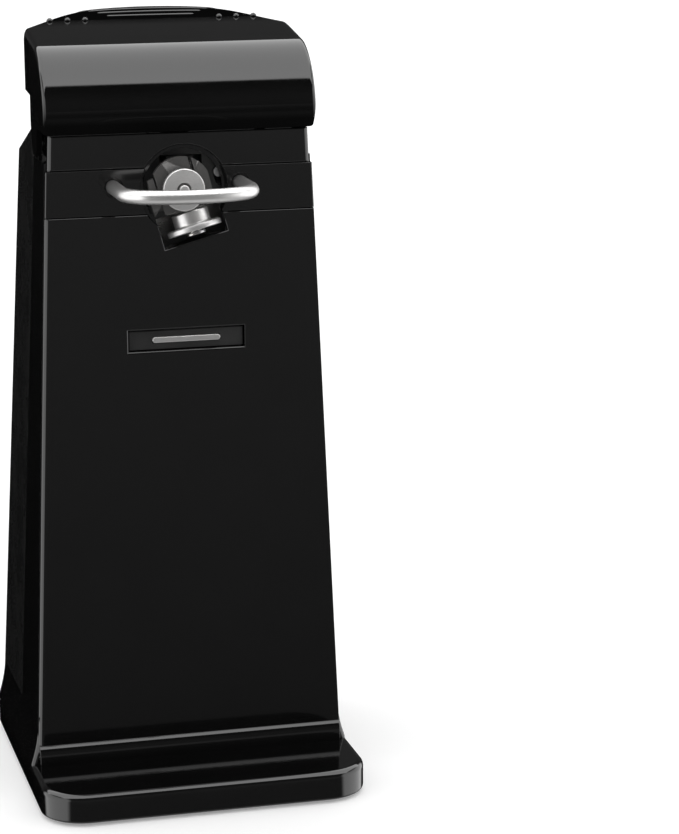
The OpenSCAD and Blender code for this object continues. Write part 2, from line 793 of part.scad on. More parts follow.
module drive_shaft() color(dark_steel) {
    rod_y(drive_x, drive_z, 2, wheel_front + 0.4, wheel_back + 0.1);
    rod_y(drive_x, drive_z, shaft_r, wheel_back, drive_gear_y + 5);
}

module drive_bush() color(bronze) {
    difference() {
        rod_y(drive_x, drive_z, 4.5, slide_y1 + 1.2, front_plate_y + 2);
        rod_y(drive_x, drive_z, shaft_r + 0.04, slide_y1, front_plate_y + 3);
    }
}

module drive_gear() color(plated_steel) {
    difference() {
        gear(drive_x, drive_z, 1, drive_teeth, down, drive_gear_y, drive_gear_y + 4.9);
        rod_y(drive_x, drive_z, shaft_r, drive_gear_y - 1, drive_gear_y + 6);
    }
}

axle_play = 0.04;

// A large wheel and its own pinion in front of it, loose on a fixed axle
module cluster_gear(z, wheel_module, pinion_module, wheel_y, wheel_t, pinion_y) {
    difference() {
        union() {
            gear(drive_x, z, wheel_module, wheel_teeth, down, wheel_y, wheel_y + wheel_t);
            gear(drive_x, z, pinion_module, pinion_teeth, pinion_start, pinion_y, wheel_y + small);
        }
        rod_y(drive_x, z, axle_r + axle_play, pinion_y - 1, wheel_y + wheel_t + 1);
        for (a = [0:60:300])
            translate([drive_x, 0, z]) rotate([0, a, 0])
                rod_y(wheel_module * wheel_teeth * 0.34, 0, wheel_module * wheel_teeth * 0.11,
                    wheel_y - 1, wheel_y + wheel_t + 1);
    }
}

module second_gear() color(nylon)
    cluster_gear(second_z, module_second, 1, second_wheel_y, 3.5, drive_gear_y + 0.1);

module first_gear() color(nylon)
    cluster_gear(first_z, module_first, module_second, first_wheel_y, 3, second_wheel_y + 0.1);

// A fixed axle between the two gear plates
module fixed_axle(z) rod_y(drive_x, z, axle_r, front_plate_y, rear_plate_y + 1.5);

module second_gear_axle() color(plated_steel) fixed_axle(second_z);

module first_gear_axle() color(plated_steel) fixed_axle(first_z);

posts = [[drive_x - 26.3, 150], [drive_x + 26.3, 150], [drive_x - 26.3, 98], [drive_x + 26.3, 98]];
motor_screw_x = 19.5;
motor_screw_z = [motor_z + 11, motor_z - 22];
shaft_play = 0.04;
motor_shaft_r = 2;
motor_bush_r = 3.5;

module front_gear_plate() color(plated_steel) {
    difference() {
        block([-35, front_plate_y, 92], [35, front_plate_y + 2, 171]);
        for (z = [second_z, first_z]) rod_y(drive_x, z, axle_r, front_plate_y - 1, front_plate_y + 3);
        rod_y(drive_x, drive_z, 4.5, front_plate_y - 1, front_plate_y + 3);
        for (p = plate_screws) rod_y(p[0], p[1], 1.25, front_plate_y - 1, front_plate_y + 3);
        for (p = posts) rod_y(p[0], p[1], 1.5, front_plate_y - 1, front_plate_y + 3);
    }
    difference() {
        block([-18, front_plate_y, 171], [18, front_plate_y + 2, 189]);
        rod_y(drive_x, drive_z, 4.5, front_plate_y - 1, front_plate_y + 3);
        lean_head() for (side = [-1, 1])
            rod_y(side * guide_pin_x, 1, 1.5, front_plate_y - 1, front_plate_y + 3);
    }
}

module rear_gear_plate() color(plated_steel) {
    difference() {
        block([-33, rear_plate_y, 89], [33, rear_plate_y + 1.5, 178]);
        for (z = [second_z, first_z]) rod_y(drive_x, z, axle_r, rear_plate_y - 1, rear_plate_y + 3);
        rod_y(drive_x, motor_z, motor_bush_r, rear_plate_y - 1, rear_plate_y + 3);
        for (p = posts) rod_y(p[0], p[1], 1.5, rear_plate_y - 1, rear_plate_y + 3);
        for (side = [-1, 1]) for (z = motor_screw_z)
            rod_y(drive_x + side * motor_screw_x, z, 1.5, rear_plate_y - 1, rear_plate_y + 3);
    }
}

module gear_plate_posts() color(dark_steel) {
    for (p = posts) {
        rod_y(p[0], p[1], 2.6, front_plate_y + 2, rear_plate_y);
        rod_y(p[0], p[1], 1.5, front_plate_y, front_plate_y + 2.1);
        rod_y(p[0], p[1], 1.5, rear_plate_y - 0.1, rear_plate_y + 1.5);
    }
}

module gear_plate_screws() color(plated_steel) {
    for (p = plate_screws)
        translate([p[0], front_plate_y + 2, p[1]]) rotate([90, 0, 0]) screw(1.25, 10, 2.8, 1.8);
}

// ---------- motor ----------

core_front = rear_plate_y + 3.5;
core_t = 12;
core_back = core_front + core_t;
bracket_y = core_back + 2.5;
pinion_y = first_wheel_y + 0.1;

module motor_pinion() color(bronze) {
    difference() {
        gear(drive_x, motor_z, module_first, pinion_teeth, pinion_start, pinion_y, pinion_y + 2.8);
        rod_y(drive_x, motor_z, motor_shaft_r, pinion_y - 1, pinion_y + 4);
    }
}

module motor_shaft() color(satin_steel) {
    rod_y(drive_x, motor_z, motor_shaft_r, pinion_y, bracket_y + 5.4);
}

module rotor() color(dark_steel) {
    difference() {
        union() {
            rod_y(drive_x, motor_z, 11, core_front, core_back);
            for (y = [core_front - 1.2, core_back - small])
                rod_y(drive_x, motor_z, 9.6, y, y + 1.2 + small);
        }
        rod_y(drive_x, motor_z, motor_shaft_r, core_front - 3, core_back + 3);
    }
}

module cooling_fan() color(trim_black) {
    blades = 7;
    difference() {
        union() {
            rod_y(drive_x, motor_z, 4, bracket_y + 2.6, bracket_y + 5.4);
            rod_y(drive_x, motor_z, 11.5, bracket_y + 2.6, bracket_y + 3.4);
            for (k = [0:blades - 1])
                translate([drive_x, 0, motor_z]) rotate([0, 360 * k / blades, 0])
                    block([3.5, bracket_y + 3, -0.5], [11.2, bracket_y + 5.4, 0.5]);
        }
        rod_y(drive_x, motor_z, motor_shaft_r, bracket_y, bracket_y + 7);
    }
}

module stator_core() color("#6c6f75") {
    difference() {
        slab_y([[drive_x - 24, motor_z - 46], [drive_x + 24, motor_z - 46], [drive_x + 24, motor_z + 12],
            [drive_x + 18, motor_z + 17], [drive_x - 18, motor_z + 17], [drive_x - 24, motor_z + 12]],
            core_front, core_back);
        rod_y(drive_x, motor_z, 11.5, core_front - 1, core_back + 1);
        block([drive_x - 15, core_front - 1, motor_z - 35], [drive_x + 15, core_back + 1, motor_z - 15]);
        for (side = [-1, 1]) for (z = motor_screw_z)
            rod_y(drive_x + side * motor_screw_x, z, 1.5, core_front - 1, core_back + 1);
    }
}

bar_low = motor_z - 46;
bar_high = motor_z - 35;

// A rectangular sleeve round the core's lower bar
module sleeve(x0, x1, inner, outer) {
    difference() {
        block([drive_x + x0, core_front - outer, bar_low - outer],
            [drive_x + x1, core_back + outer, bar_high + outer]);
        block([drive_x + x0 - 1, core_front - inner, bar_low - inner],
            [drive_x + x1 + 1, core_back + inner, bar_high + inner]);
    }
}

module coil_bobbin() color(nylon) {
    sleeve(-14.5, 14.5, 0, 1);
    for (x = [-14.5, 13.3]) sleeve(x, x + 1.2, 0.5, 8);
}

module coil_winding() color(copper) sleeve(-13.3, 13.3, 1, 7.4);

module motor_bracket() color(plated_steel) {
    difference() {
        union() {
            block([drive_x - 23, bracket_y, motor_z - 6], [drive_x + 23, bracket_y + 1.5, motor_z + 15]);
            for (side = [-1, 1])
                block([drive_x + side * motor_screw_x - 3.5, bracket_y, motor_z - 26],
                    [drive_x + side * motor_screw_x + 3.5, bracket_y + 1.5, motor_z]);
        }
        rod_y(drive_x, motor_z, motor_bush_r, bracket_y - 1, bracket_y + 3);
        for (side = [-1, 1]) for (z = motor_screw_z)
            rod_y(drive_x + side * motor_screw_x, z, 1.5, bracket_y - 1, bracket_y + 3);
    }
}

module motor_bushes() color(bronze) {
    for (y = [rear_plate_y, bracket_y - 0.5])
        difference() {
            rod_y(drive_x, motor_z, motor_bush_r, y, y + 2);
            rod_y(drive_x, motor_z, motor_shaft_r + shaft_play, y - 1, y + 4);
        }
}

module motor_spacers() color(dark_steel) {
    spans = [[rear_plate_y + 1.5, core_front], [core_back, bracket_y]];
    for (side = [-1, 1]) for (z = motor_screw_z) for (span = spans)
        difference() {
            rod_y(drive_x + side * motor_screw_x, z, 2.8, span[0], span[1]);
            rod_y(drive_x + side * motor_screw_x, z, 1.5, span[0] - 1, span[1] + 1);
        }
}

module motor_screws() color(plated_steel) {
    for (side = [-1, 1]) for (z = motor_screw_z)
        translate([drive_x + side * motor_screw_x, bracket_y + 1.5, z]) rotate([90, 0, 0])
            screw(1.5, bracket_y + 1.5 - rear_plate_y, 2.8, 1.6);
}

base();
bottom_cover();
rubber_feet();
base_screws();
front_housing();
rear_housing();
housing_screws();
lower_front_panel();
middle_band();
upper_front_panel();
guide_bar();
guide_bar_clips();
magnet_holder();
lid_magnet();
magnet_pole_piece();
lever();
lever_pivot_pins();
lever_spring();
switch_body();
switch_plunger();
switch_terminals();
cutter_slide();
cutter_bracket();
cutter_axle();
cutter_wheel();
slide_guide_pins();
drive_wheel();
drive_shaft();
drive_bush();
drive_gear();
drive_wheel_nut();
second_gear();
second_gear_axle();
first_gear();
first_gear_axle();
front_gear_plate();
rear_gear_plate();
gear_plate_posts();
gear_plate_screws();
motor_pinion();
motor_shaft();
rotor();
cooling_fan();
stator_core();
coil_bobbin();
coil_winding();
motor_bracket();
motor_bushes();
motor_screws();
motor_spacers();
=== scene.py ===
import math

import bmesh
import bpy
from mathutils import Matrix, Vector


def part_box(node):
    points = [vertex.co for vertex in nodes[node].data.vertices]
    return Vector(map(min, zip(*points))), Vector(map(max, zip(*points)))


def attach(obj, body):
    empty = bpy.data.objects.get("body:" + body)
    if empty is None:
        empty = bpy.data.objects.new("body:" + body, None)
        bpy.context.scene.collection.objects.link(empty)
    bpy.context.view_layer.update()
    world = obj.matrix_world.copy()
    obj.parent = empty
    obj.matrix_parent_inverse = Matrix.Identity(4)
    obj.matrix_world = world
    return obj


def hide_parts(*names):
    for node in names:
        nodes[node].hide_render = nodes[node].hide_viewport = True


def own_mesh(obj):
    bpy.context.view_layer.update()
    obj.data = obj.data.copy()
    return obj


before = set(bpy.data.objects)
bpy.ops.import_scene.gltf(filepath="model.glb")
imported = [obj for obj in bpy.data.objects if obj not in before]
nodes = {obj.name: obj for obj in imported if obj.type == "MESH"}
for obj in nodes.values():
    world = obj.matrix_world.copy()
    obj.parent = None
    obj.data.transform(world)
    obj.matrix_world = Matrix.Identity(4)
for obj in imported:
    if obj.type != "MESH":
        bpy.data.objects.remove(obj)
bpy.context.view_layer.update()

# Sizes in this file are millimetres; MM turns them into the frame's metres.
MM = 0.001

FRONT_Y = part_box("lower_front_panel")[0].y / MM
LEVER_HALF_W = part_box("lever")[1].x / MM
BASE_HALF_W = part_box("base")[1].x / MM
BASE_HALF_D = -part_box("base")[0].y / MM
# The middle of the round recess, and how the cutter leans sideways and tilts back.
HEAD_X, HEAD_Z = 1.0, 178.0
LEAN, TILT = math.radians(15), math.radians(12)
# The middle of the lid magnet's slot.
SLOT_X, SLOT_Z = 1.0, 134.5
# Points closer than this are one point; faces closer than this angle are one face; sharper edges are rounded.
WELD_MM, FLAT_DEG, SHARP_DEG = 0.004, 0.4, 32.0


# ---------- camera ----------

CAMERA_AT = (-156.7, -800.7, 287.1)
CAMERA_YAW, CAMERA_PITCH, CAMERA_ROLL = 14.6, 12.5, -0.4
CAMERA_LENS = 121.0


def place_camera():
    yaw, pitch, roll = (math.radians(angle) for angle in (CAMERA_YAW, CAMERA_PITCH, CAMERA_ROLL))
    forward = Vector((math.sin(yaw) * math.cos(pitch), math.cos(yaw) * math.cos(pitch), -math.sin(pitch)))
    level = Vector((math.cos(yaw), -math.sin(yaw), 0))
    upright = level.cross(forward)
    right = math.cos(roll) * level + math.sin(roll) * upright
    up = math.cos(roll) * upright - math.sin(roll) * level
    data = bpy.data.cameras.new("camera")
    data.lens, data.sensor_width = CAMERA_LENS, 36.0
    data.clip_start, data.clip_end = 0.01, 60.0
    camera = bpy.data.objects.new("camera", data)
    turn = Matrix((right, up, -forward)).transposed().to_4x4()
    camera.matrix_world = Matrix.Translation(Vector(CAMERA_AT) * MM) @ turn
    bpy.context.scene.collection.objects.link(camera)
    bpy.context.scene.camera = camera


place_camera()


# ---------- materials ----------

class Nodes:
    """A short way to write a node tree: each call adds one node and returns its first output."""

    def __init__(self, tree):
        self.tree = tree

    def add(self, kind, inputs=(), **settings):
        node = self.tree.nodes.new(kind)
        for key, value in settings.items():
            setattr(node, key, value)
        for key, value in dict(inputs).items():
            if isinstance(value, bpy.types.NodeSocket):
                self.tree.links.new(value, node.inputs[key])
            else:
                node.inputs[key].default_value = value
        return node

    def math(self, operation, a, b=0.0):
        return self.add("ShaderNodeMath", {0: a, 1: b}, operation=operation).outputs[0]

    def remap(self, value, low, high, to_low, to_high, smooth=False):
        node = self.add("ShaderNodeMapRange", {0: value, 1: low, 2: high, 3: to_low, 4: to_high})
        node.interpolation_type = "SMOOTHSTEP" if smooth else "LINEAR"
        return node.outputs[0]

    def noise(self, where, scale, detail=3.0, distortion=0.0):
        return self.add("ShaderNodeTexNoise", {"Vector": where, "Scale": scale, "Detail": detail,
                                               "Distortion": distortion}).outputs["Fac"]

    def stretch(self, where, scale):
        return self.add("ShaderNodeMapping", {"Vector": where, "Scale": scale}).outputs[0]

    def blend(self, share, a, b):
        node = self.add("ShaderNodeMix", {}, data_type="RGBA")
        for index, value in ((0, share), (6, a), (7, b)):
            if isinstance(value, bpy.types.NodeSocket):
                self.tree.links.new(value, node.inputs[index])
            else:
                node.inputs[index].default_value = value
        return node.outputs[2]


def grey(value, warm=0.0):
    return (value * (1 + warm), value, value * (1 - warm), 1.0)


def make_material(name, colour, colour_2, roughness, metallic=0.0, blotch=90.0, grain=2500.0, grain_height=0.004,
                  wave_height=0.0, wave=180.0, brush=None, brush_height=0.0, stripes=None, specular=0.5,
                  shine_zone=None):
    """A procedural finish. roughness is (low, high); grain, wave and blotch are noise scales per metre; heights are
    in millimetres; brush is a (x, y, z) scale of drawn-out scratches; stripes is (axis, pitch in mm, height);
    shine_zone is (low_0, low_1, high_0, high_1, dull): heights in mm between which the finish shines, and its
    specular level elsewhere."""
    material = bpy.data.materials.new("looks_" + name)
    material.use_nodes = True
    tree = material.node_tree
    tree.nodes.clear()
    n = Nodes(tree)
    where = n.add("ShaderNodeTexCoord").outputs["Object"]
    cloud = n.noise(where, blotch, 4.0)
    fine = n.noise(where, grain, 2.0)
    colour_out = n.blend(n.remap(cloud, 0.35, 0.65, 0.0, 1.0), colour, colour_2)
    height = n.math("MULTIPLY", fine, grain_height)
    rough_source = n.math("ADD", n.math("MULTIPLY", cloud, 0.55), n.math("MULTIPLY", fine, 0.45))
    if brush:
        lines = n.noise(n.stretch(where, brush), 1.0, 4.0)
        rough_source = n.math("ADD", n.math("MULTIPLY", rough_source, 0.35), n.math("MULTIPLY", lines, 0.65))
        height = n.math("ADD", height, n.math("MULTIPLY", lines, brush_height))
        colour_out = n.blend(n.remap(lines, 0.4, 0.62, 0.0, 0.5), colour_out, colour_2)
    if wave_height:
        height = n.math("ADD", height, n.math("MULTIPLY", n.noise(where, wave, 1.0), wave_height))
    if stripes:
        axis, pitch, depth = stripes
        along = n.add("ShaderNodeSeparateXYZ", {0: where}).outputs[axis]
        line = n.math("SINE", n.math("MULTIPLY", along, 2 * math.pi / (pitch * MM)))
        line = n.remap(line, -1.0, 0.2, 0.0, 1.0, smooth=True)
        height = n.math("ADD", height, n.math("MULTIPLY", line, depth))
        # The troughs of the stripes are blended towards grey(0.02): painted shade in the grooves, on top of their
        # real bump.
        colour_out = n.blend(n.remap(line, 0.0, 1.0, 0.55, 0.0), colour_out, grey(0.02))
    bump = n.add("ShaderNodeBump", {"Height": height, "Strength": 1.0, "Distance": MM})
    if shine_zone:
        low_0, low_1, high_0, high_1, dull = shine_zone
        level = n.add("ShaderNodeSeparateXYZ", {0: where}).outputs["Z"]
        rise = n.remap(level, low_0 * MM, low_1 * MM, dull, specular, smooth=True)
        fall = n.remap(level, high_0 * MM, high_1 * MM, specular, dull, smooth=True)
        specular = n.math("MINIMUM", rise, fall)
    shader = n.add("ShaderNodeBsdfPrincipled", {
        "Base Color": colour_out, "Metallic": metallic, "Normal": bump.outputs[0],
        "Roughness": n.remap(rough_source, 0.35, 0.65, *roughness), "Specular IOR Level": specular})
    n.add("ShaderNodeOutputMaterial", {"Surface": shader.outputs[0]})
    return material


gloss_black = make_material("gloss_black", grey(0.0024), grey(0.0028), (0.06, 0.09), blotch=60, grain=1800,
                            grain_height=0.0006, wave_height=0.002, wave=110)
hood_black = make_material("hood_black", grey(0.0024), grey(0.0028), (0.05, 0.09), blotch=60, grain=1800,
                           grain_height=0.0006, wave_height=0.003, wave=110,
                           shine_zone=(197, 206, 222.6, 223.6, 0.0))
grip_black = make_material("grip_black", grey(0.012), grey(0.018), (0.24, 0.34), grain=2600, grain_height=0.003)
inner_black = make_material("inner_black", grey(0.010), grey(0.016), (0.32, 0.5), grain=1500, grain_height=0.02)
foot_rubber = make_material("foot_rubber", grey(0.022), grey(0.035), (0.7, 0.88), grain=3000, grain_height=0.05)
shell_black = make_material("shell_black", grey(0.0030), grey(0.0036), (0.24, 0.30), blotch=70, grain=2200,
                            grain_height=0.003)
satin_steel = make_material("satin_steel", grey(0.64, 0.01), grey(0.56, 0.01), (0.30, 0.40), metallic=0.85,
                            grain=4000, grain_height=0.003, brush=(300, 6000, 6000), brush_height=0.003)
turned_steel = make_material("turned_steel", grey(0.66, 0.01), grey(0.56, 0.01), (0.30, 0.42), metallic=0.8,
                             grain=5000, grain_height=0.002, brush=(900, 900, 5000), brush_height=0.002)
dark_steel = make_material("dark_steel", grey(0.13, 0.02), grey(0.09, 0.02), (0.42, 0.56), metallic=0.7,
                           grain=3500, grain_height=0.004, brush=(5000, 900, 900), brush_height=0.003)
zinc_steel = make_material("zinc_steel", grey(0.52, 0.03), grey(0.42, -0.02), (0.25, 0.45), metallic=1.0,
                           blotch=160, grain=2500, grain_height=0.005)
ferrite = make_material("ferrite", grey(0.045, 0.05), grey(0.028, 0.05), (0.5, 0.7), grain=2600, grain_height=0.02)
red_plastic = make_material("red_plastic", (0.28, 0.022, 0.018, 1), (0.21, 0.016, 0.014, 1), (0.28, 0.4),
                            grain=2000, grain_height=0.006)
nylon = make_material("nylon", (0.66, 0.63, 0.54, 1), (0.58, 0.55, 0.46, 1), (0.34, 0.48), grain=1600,
                      grain_height=0.008)
brass = make_material("brass", (0.62, 0.40, 0.16, 1), (0.50, 0.31, 0.12, 1), (0.22, 0.38), metallic=1.0,
                      grain=3200, grain_height=0.004, brush=(400, 5000, 5000), brush_height=0.003)
# The copper's and the lamination's stripes have painted shade darkening the groove between each wire and each
# sheet.
copper = make_material("copper", (0.52, 0.17, 0.07, 1), (0.40, 0.12, 0.05, 1), (0.2, 0.34), metallic=1.0,
                       stripes=("Z", 0.42, 0.09), grain=2500, grain_height=0.006)
lamination = make_material("lamination", grey(0.26, 0.01), grey(0.16, 0.03), (0.36, 0.52), metallic=1.0,
                           stripes=("Y", 0.5, 0.06), grain=2600, grain_height=0.006)

MATERIALS = {
    "gloss_black": gloss_black, "shell_black": shell_black, "inner_black": inner_black, "foot_rubber": foot_rubber,
    "satin_steel": satin_steel, "dark_steel": dark_steel, "zinc_steel": zinc_steel, "ferrite": ferrite,
    "red_plastic": red_plastic, "nylon": nylon, "brass": brass, "copper": copper, "lamination": lamination,
}


# ---------- mesh helpers ----------

def finish_piece(obj, material, body, replaces=()):
    obj.data.materials.clear()
    obj.data.materials.append(material)
    for face in obj.data.polygons:
        face.use_smooth = True
    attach(obj, body)
    if replaces:
        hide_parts(*replaces)
    return obj


def new_piece(name, points, faces, material, body, slot, replaces=()):
    """A mesh from points in millimetres."""
    mesh = bpy.data.meshes.new(name)
    mesh.from_pydata([tuple(c * MM for c in p) for p in points], [], faces)
    mesh.validate()
    made = bmesh.new()
    made.from_mesh(mesh)
    bmesh.ops.remove_doubles(made, verts=made.verts, dist=WELD_MM / 2 * MM)
    bmesh.ops.recalc_face_normals(made, faces=made.faces)
    made.to_mesh(mesh)
    made.free()
    obj = bpy.data.objects.new(name, mesh)
    bpy.context.scene.collection.objects.link(obj)
    return finish_piece(obj, material, body, replaces)


def soften(obj, width, segments=3, angle=SHARP_DEG, by_weight=False):
    """Rounds an object's sharp edges, by a radius in millimetres, and evens its normals."""
    bevel = obj.modifiers.new("edges", "BEVEL")
    bevel.width, bevel.segments = width * MM, segments
    bevel.limit_method = "WEIGHT" if by_weight else "ANGLE"
    bevel.angle_limit = math.radians(angle)
    bevel.use_clamp_overlap = True
    normals = obj.modifiers.new("normals", "WEIGHTED_NORMAL")
    normals.keep_sharp = False
    return obj


def dress(name, material, edge):
    """Gives a CAD node its finish, and rounds its edges by modifiers, which leave its points where they are."""
    obj = nodes[name]
    for index in range(len(obj.material_slots)):
        obj.material_slots[index].material = material
    if not obj.material_slots:
        obj.data.materials.append(material)
    if "custom_normal" in obj.data.attributes:
        obj.data.attributes.remove(obj.data.attributes["custom_normal"])
    for face in obj.data.polygons:
        face.use_smooth = True
    weld = obj.modifiers.new("weld", "WELD")
    weld.merge_threshold = WELD_MM * MM
    flat = obj.modifiers.new("flat", "DECIMATE")
    flat.decimate_type, flat.angle_limit = "DISSOLVE", math.radians(FLAT_DEG)
    return soften(obj, edge, 2 if edge < 0.2 else 3)


def copy_of(node, name, rule, width, material, body):
    """A piece that takes over a CAD node's shape and rounds each edge by rule(middle, direction) times width."""
    source = bmesh.new()
    source.from_mesh(nodes[node].data)
    bmesh.ops.remove_doubles(source, verts=source.verts, dist=WELD_MM * MM)
    bmesh.ops.dissolve_limit(source, angle_limit=math.radians(FLAT_DEG), verts=source.verts, edges=source.edges)
    weight = source.edges.layers.float.new("bevel_weight_edge")
    for edge in source.edges:
        if len(edge.link_faces) == 2 and edge.calc_face_angle(0) > math.radians(SHARP_DEG):
            a, b = edge.verts[0].co / MM, edge.verts[1].co / MM
            edge[weight] = rule((a + b) / 2, (b - a).normalized())
    mesh = bpy.data.meshes.new(name)
    source.to_mesh(mesh)
    source.free()
    obj = bpy.data.objects.new(name, mesh)
    bpy.context.scene.collection.objects.link(obj)
    finish_piece(obj, material, body, (node,))
    return soften(obj, width, 5, by_weight=True)


def ring_faces(rings, count):
    """The four-sided faces between neighbouring rings of count points."""
    return [(i * count + k, i * count + (k + 1) % count, (i + 1) * count + (k + 1) % count, (i + 1) * count + k)
            for i in range(rings - 1) for k in range(count)]


def end_faces(rings, count):
    """One face over the first ring and one over the last."""
    return [tuple(range(count)), tuple((rings - 1) * count + k for k in range(count))]


def lathe(name, profile, origin, axis, material, body, slot, replaces=(), sides=96, tooth=None):
    """A turned piece: profile is [(radius, distance along axis)], and sides is how many points a ring has. tooth is
    (count, depth, first, last): the teeth round the rows from first to last, and their depth."""
    axis = Vector(axis).normalized()
    side = axis.orthogonal().normalized()
    other = axis.cross(side)
    points = []
    for row, (radius, along) in enumerate(profile):
        for k in range(sides):
            a = 2 * math.pi * k / sides
            r = radius
            if tooth and tooth[2] <= row <= tooth[3]:
                r -= tooth[1] * (0.5 + 0.5 * math.cos(a * tooth[0]))
            points.append(Vector(origin) + axis * along + side * (r * math.cos(a)) + other * (r * math.sin(a)))
    faces = ring_faces(len(profile), sides)
    faces += [end for end, (radius, _) in zip(end_faces(len(profile), sides), (profile[0], profile[-1]))
              if radius > 0.01]
    obj = new_piece(name, points, faces, material, body, slot, replaces)
    return soften(obj, 0.12, 2, 28)


def sweep(path, radius, sides=24, flatten=1.0, taper=0):
    """Points and faces of a round or flattened bar along a path; taper rounds that many rings at both ends."""
    points = []
    count = len(path)
    for i, p in enumerate(path):
        along = (path[min(i + 1, count - 1)] - path[max(i - 1, 0)]).normalized()
        side = Vector((0, 0, 1)).cross(along).normalized()
        up = along.cross(side)
        near = min(i, count - 1 - i)
        r = radius if near >= taper else radius * math.sin(math.pi / 2 * (near + 0.15) / (taper + 0.15))
        for k in range(sides):
            a = 2 * math.pi * k / sides
            points.append(p + side * (r * math.cos(a)) + up * (r * flatten * math.sin(a)))
    return points, ring_faces(count, sides) + end_faces(count, sides)


def join(*parts):
    """Several (points, faces) as one."""
    points, faces = [], []
    for p, f in parts:
        start = len(points)
        points += p
        faces += [tuple(i + start for i in face) for face in f]
    return points, faces


def box_mesh(low, high):
    (x0, y0, z0), (x1, y1, z1) = low, high
    points = [Vector(p) for p in ((x0, y0, z0), (x1, y0, z0), (x1, y1, z0), (x0, y1, z0),
                                  (x0, y0, z1), (x1, y0, z1), (x1, y1, z1), (x0, y1, z1))]
    return points, [(0, 3, 2, 1), (4, 5, 6, 7), (0, 1, 5, 4), (1, 2, 6, 5), (2, 3, 7, 6), (3, 0, 4, 7)]


def prism_x(outline, half):
    """An outline of (y, z) points made solid between -half and half."""
    points = [Vector((side * half, y, z)) for side in (-1, 1) for y, z in outline]
    return points, end_faces(2, len(outline)) + ring_faces(2, len(outline))


def post_mesh(x, y, z0, z1, r, sides=32):
    """A round upright post from z0 to z1."""
    points = [Vector((x + r * math.cos(2 * math.pi * k / sides), y + r * math.sin(2 * math.pi * k / sides), z))
              for z in (z0, z1) for k in range(sides)]
    return points, end_faces(2, sides) + ring_faces(2, sides)


# ---------- foot ----------

# Height of the foot's rim, height where the flare meets the tower, and the rounding of the rim's top edge.
RIM_Z, FLARE_TOP, FILLET = 9.5, 24.0, 1.9
FRONT_CORNER, BACK_CORNER = 13.0, 5.0
# Rounding of the flare's front edge, and how far it starts behind the front panels and ends.
FLARE_ROUND, FLARE_FRONT, FLARE_BACK = 1.6, FRONT_Y + 0.7, 48.9


def half_w(z):
    """Half of the tower's width at height z."""
    low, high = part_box("lower_front_panel")
    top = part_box("middle_band")
    share = (z - low.z / MM) / ((top[0].z - low.z) / MM)
    return high.x / MM + (top[1].x - high.x) / MM * share


def foot_outline(inset, z):
    """The foot seen from above, at height z, drawn in by inset."""
    points = []
    corners = ((1, -1, FRONT_CORNER), (1, 1, BACK_CORNER), (-1, 1, BACK_CORNER), (-1, -1, FRONT_CORNER))
    for index, (sx, sy, radius) in enumerate(corners):
        start = math.radians(-90 + 90 * index)
        cx, cy = sx * (BASE_HALF_W - radius), sy * (BASE_HALF_D - radius)
        for k in range(13):
            a = start + math.radians(90) * k / 12
            points.append(Vector((cx + (radius - inset) * math.cos(a), cy + (radius - inset) * math.sin(a), z)))
    return points


def foot_mesh():
    rings = [(2.5, 3.3), (2.5, 1.15), (2.2, 1.0), (0.7, 1.0), (0.2, 1.25), (0, 1.8), (0, RIM_Z - FILLET)]
    rings += [(FILLET * (1 - math.cos(a)), RIM_Z - FILLET * (1 - math.sin(a)))
              for a in (math.radians(d) for d in range(15, 91, 15))]
    loops = [foot_outline(inset, z) for inset, z in rings]
    size = (len(loops), len(loops[0]))
    return [p for loop in loops for p in loop], end_faces(*size) + ring_faces(*size)


def flare_mesh(side):
    """The skirt that curves out of the tower's side into the foot, with a soft front edge."""
    steps, points = 16, []
    stations = [(FLARE_FRONT + FLARE_ROUND * (1 - math.cos(a)), FLARE_ROUND * (1 - math.sin(a)))
                for a in (math.radians(d) for d in (0, 18, 36, 54, 72, 90))]
    stations += [(FLARE_BACK * 0.5, 0.0), (FLARE_BACK, 0.0)]
    for y, inset in stations:
        for i in range(steps + 1):
            z = RIM_Z - 1.0 + (FLARE_TOP - RIM_Z + 1.0) * i / steps
            share = max(0.0, (FLARE_TOP - max(z, RIM_Z)) / (FLARE_TOP - RIM_Z))
            x = half_w(FLARE_TOP) + (BASE_HALF_W - 0.3 - half_w(FLARE_TOP)) * share ** 2
            x = max(x - inset * min(1.0, share * 3), half_w(z) - 0.3)
            points.append(Vector((side * x, y, z)))
        points.append(Vector((side * (half_w(FLARE_TOP) - 3), y, FLARE_TOP)))
        points.append(Vector((side * (half_w(FLARE_TOP) - 3), y, RIM_Z - 1.0)))
    size = (len(stations), steps + 3)
    return points, ring_faces(*size) + end_faces(*size)


foot = new_piece("foot", *foot_mesh(), gloss_black, "housing", "gloss_black", ("base",))
soften(foot, 0.2, 2, 40)
for side, word in ((-1, "left"), (1, "right")):
    skirt = new_piece("foot_skirt_" + word, *flare_mesh(side), gloss_black, "housing", "gloss_black")
    soften(skirt, 0.25, 2, 40)


def moulding_mesh():
    """The rounded bead between the lower panel's bottom edge and the foot's ledge."""
    y = FRONT_Y
    outline = [(y + 1.8, 15.4), (y + 0.3, 15.4), (y - 0.1, 15.25), (y - 0.55, 14.9), (y - 0.95, 14.35),
               (y - 1.25, 13.7), (y - 1.45, 12.9), (y - 1.55, 12.0), (y - 1.6, 11.0), (y - 1.6, RIM_Z - 0.3),
               (y + 1.8, RIM_Z - 0.3)]
    return prism_x(outline, half_w(13) - 0.3)


soften(new_piece("foot_moulding", *moulding_mesh(), gloss_black, "housing", "gloss_black"), 0.18, 2, 40)


# ---------- front panels ----------

def panel_rule(middle, direction):
    """How round each edge of a front panel is, as a share of PANEL_ROUND: full on the long outer sides, less round
    the magnet's slot, fine elsewhere and finest at the back."""
    if middle.y > FRONT_Y + 0.3:
        return 0.12
    if abs(middle.x) > half_w(middle.z) - 1.5 and abs(direction.z) > 0.8:
        return 1.0
    if abs(middle.z - SLOT_Z) < 5 and abs(middle.x) < 20:
        return 0.42
    return 0.3


